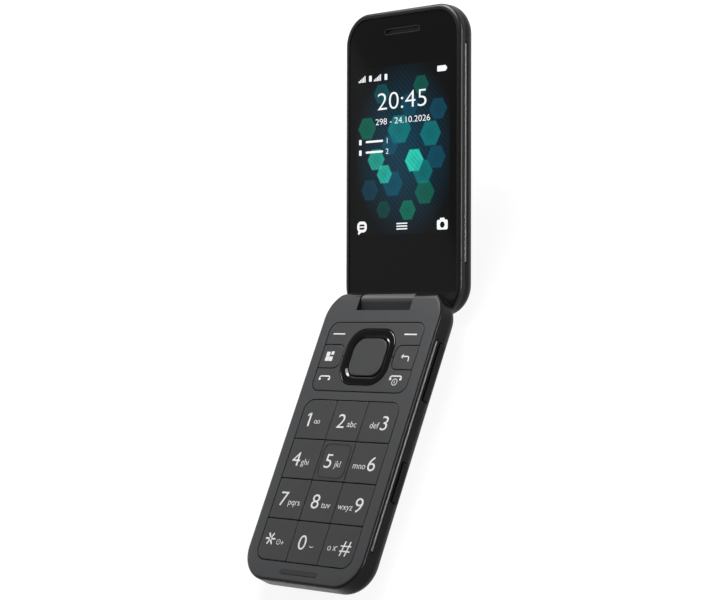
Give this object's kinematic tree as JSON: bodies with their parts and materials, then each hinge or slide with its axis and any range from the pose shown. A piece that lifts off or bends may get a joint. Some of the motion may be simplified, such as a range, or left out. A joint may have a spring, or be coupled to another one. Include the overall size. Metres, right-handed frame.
{
  "type": "flip phone",
  "caption": "Clamshell mobile phone lying open: keypad base with a hinged lid that carries a large inner screen, a small outer screen and a camera.",
  "frame": {"origin": "middle of the base's back face, on the battery cover", "axes": "+X to the right of the keypad, +Y from the keypad's foot to the hinge, +Z out of the keypad"},
  "size_m": [0.0555, 0.2021, 0.0514],
  "materials": {
    "shell_grey": "fine textured charcoal paint",
    "frame_grey": "satin charcoal",
    "lid_frame_black": "satin near-black",
    "cover_grey": "satin dark grey",
    "key_grey": "satin charcoal with pale legends",
    "ring_black": "high gloss black",
    "window_black": "high gloss near-black",
    "display_black": "dark display glass",
    "plate_metal": "brushed satin",
    "lens_black": "black lens glass",
    "flash_cream": "clear cream",
    "soft_black": "matte black",
    "inner_black": "matte black",
    "board_green": "solder mask",
    "dome_film": "amber film",
    "battery_wrap": "plain wrap",
    "steel": "plain",
    "contact_gold": "plated"
  },
  "bodies": {
    "base": {"base_rear_shell": "shell_grey", "base_front_frame": "frame_grey", "front_bumper": "soft_black", "keypad_mat": "soft_black", "sim_holder": "inner_black", "loudspeaker": "inner_black", "headphone_socket": "inner_black", "microphone": "inner_black", "side_switches": "inner_black", "main_board": "board_green", "dome_sheet": "dome_film", "hinge_flex": "dome_film", "battery": "battery_wrap", "hinge_pin": "steel", "hinge_pipe": "steel", "base_screws": "steel", "usb_socket": "steel", "shield_can": "steel", "vibration_motor": "steel", "battery_contacts": "contact_gold"},
    "lid": {"lid_outer_shell": "shell_grey", "lid_inner_frame": "lid_frame_black", "inner_window": "window_black", "outer_window": "window_black", "main_display": "display_black", "outer_display": "display_black", "lid_board": "board_green", "earpiece": "inner_black", "earpiece_mesh": "inner_black", "lid_magnet": "steel", "camera_plate": "plate_metal", "camera_lens": "lens_black", "camera_module": "inner_black", "flash_lens": "flash_cream", "lid_screws": "steel", "lid_flex": "dome_film", "hinge_cartridge": "steel", "hinge_spring": "steel"},
    "key_1": {"key_1": "key_grey"},
    "key_2": {"key_2": "key_grey"},
    "key_3": {"key_3": "key_grey"},
    "key_4": {"key_4": "key_grey"},
    "key_5": {"key_5": "key_grey"},
    "key_6": {"key_6": "key_grey"},
    "key_7": {"key_7": "key_grey"},
    "key_8": {"key_8": "key_grey"},
    "key_9": {"key_9": "key_grey"},
    "key_star": {"key_star": "key_grey"},
    "key_0": {"key_0": "key_grey"},
    "key_hash": {"key_hash": "key_grey"},
    "soft_key_plate": {"soft_key_plate": "key_grey"},
    "call_key_plate": {"call_key_plate": "key_grey"},
    "apps_key": {"apps_key": "key_grey"},
    "back_key": {"back_key": "key_grey"},
    "ok_key": {"ok_key": "key_grey"},
    "nav_ring": {"nav_ring": "ring_black"},
    "nav_carrier": {"nav_carrier": "soft_black"},
    "volume_key": {"volume_key": "shell_grey"},
    "emergency_key": {"emergency_key": "shell_grey"},
    "battery_cover": {"battery_cover": "cover_grey"}
  },
  "joints": [
    {"name": "lid_hinge", "type": "hinge", "parent": "base", "child": "lid", "pos_m": [0, 0.05, 0.006], "axis": [1, 0, 0], "range_deg": [0, 155]},
    {"name": "key_1_press", "type": "slide", "parent": "base", "child": "key_1", "axis": [0, 0, -1], "range_m": [0, 0.0003], "stiffness_N_per_m": 3000},
    {"name": "key_2_press", "type": "slide", "parent": "base", "child": "key_2", "axis": [0, 0, -1], "range_m": [0, 0.0003], "stiffness_N_per_m": 3000},
    {"name": "key_3_press", "type": "slide", "parent": "base", "child": "key_3", "axis": [0, 0, -1], "range_m": [0, 0.0003], "stiffness_N_per_m": 3000},
    {"name": "key_4_press", "type": "slide", "parent": "base", "child": "key_4", "axis": [0, 0, -1], "range_m": [0, 0.0003], "stiffness_N_per_m": 3000},
    {"name": "key_5_press", "type": "slide", "parent": "base", "child": "key_5", "axis": [0, 0, -1], "range_m": [0, 0.0003], "stiffness_N_per_m": 3000},
    {"name": "key_6_press", "type": "slide", "parent": "base", "child": "key_6", "axis": [0, 0, -1], "range_m": [0, 0.0003], "stiffness_N_per_m": 3000},
    {"name": "key_7_press", "type": "slide", "parent": "base", "child": "key_7", "axis": [0, 0, -1], "range_m": [0, 0.0003], "stiffness_N_per_m": 3000},
    {"name": "key_8_press", "type": "slide", "parent": "base", "child": "key_8", "axis": [0, 0, -1], "range_m": [0, 0.0003], "stiffness_N_per_m": 3000},
    {"name": "key_9_press", "type": "slide", "parent": "base", "child": "key_9", "axis": [0, 0, -1], "range_m": [0, 0.0003], "stiffness_N_per_m": 3000},
    {"name": "key_star_press", "type": "slide", "parent": "base", "child": "key_star", "axis": [0, 0, -1], "range_m": [0, 0.0003], "stiffness_N_per_m": 3000},
    {"name": "key_0_press", "type": "slide", "parent": "base", "child": "key_0", "axis": [0, 0, -1], "range_m": [0, 0.0003], "stiffness_N_per_m": 3000},
    {"name": "key_hash_press", "type": "slide", "parent": "base", "child": "key_hash", "axis": [0, 0, -1], "range_m": [0, 0.0003], "stiffness_N_per_m": 3000},
    {"name": "apps_key_press", "type": "slide", "parent": "base", "child": "apps_key", "axis": [0, 0, -1], "range_m": [0, 0.0003], "stiffness_N_per_m": 3000},
    {"name": "back_key_press", "type": "slide", "parent": "base", "child": "back_key", "axis": [0, 0, -1], "range_m": [0, 0.0003], "stiffness_N_per_m": 3000},
    {"name": "ok_key_press", "type": "slide", "parent": "base", "child": "ok_key", "axis": [0, 0, -1], "range_m": [0, 0.0003], "stiffness_N_per_m": 3000},
    {"name": "soft_keys_rock", "type": "hinge", "parent": "base", "child": "soft_key_plate", "pos_m": [0, 0.0282, 0.0083], "axis": [0, 1, 0], "range_deg": [-0.7, 0.7], "stiffness_Nm_per_rad": 2},
    {"name": "call_keys_rock", "type": "hinge", "parent": "base", "child": "call_key_plate", "pos_m": [0, 0.0282, 0.0083], "axis": [0, 1, 0], "range_deg": [-0.7, 0.7], "stiffness_Nm_per_rad": 2},
    {"name": "nav_tilt_up_down", "type": "hinge", "parent": "base", "child": "nav_carrier", "pos_m": [0, 0.0282, 0.009], "axis": [1, 0, 0], "range_deg": [-1.4, 1.4], "stiffness_Nm_per_rad": 0.75},
    {"name": "nav_tilt_sideways", "type": "hinge", "parent": "nav_carrier", "child": "nav_ring", "pos_m": [0, 0.0282, 0.009], "axis": [0, 1, 0], "range_deg": [-1.3, 1.3], "stiffness_Nm_per_rad": 0.75},
    {"name": "volume_rock", "type": "hinge", "parent": "base", "child": "volume_key", "pos_m": [0.0265, 0.025, 0.0049], "axis": [0, 0, 1], "range_deg": [-1.2, 1.2], "stiffness_Nm_per_rad": 0.7},
    {"name": "emergency_key_press", "type": "slide", "parent": "base", "child": "emergency_key", "axis": [-1, 0, 0], "range_m": [0, 0.0003], "stiffness_N_per_m": 3000},
    {"name": "cover_lift", "type": "slide", "parent": "base", "child": "battery_cover", "axis": [0, 0, -1], "range_m": [0, 0.02]}
  ]
}
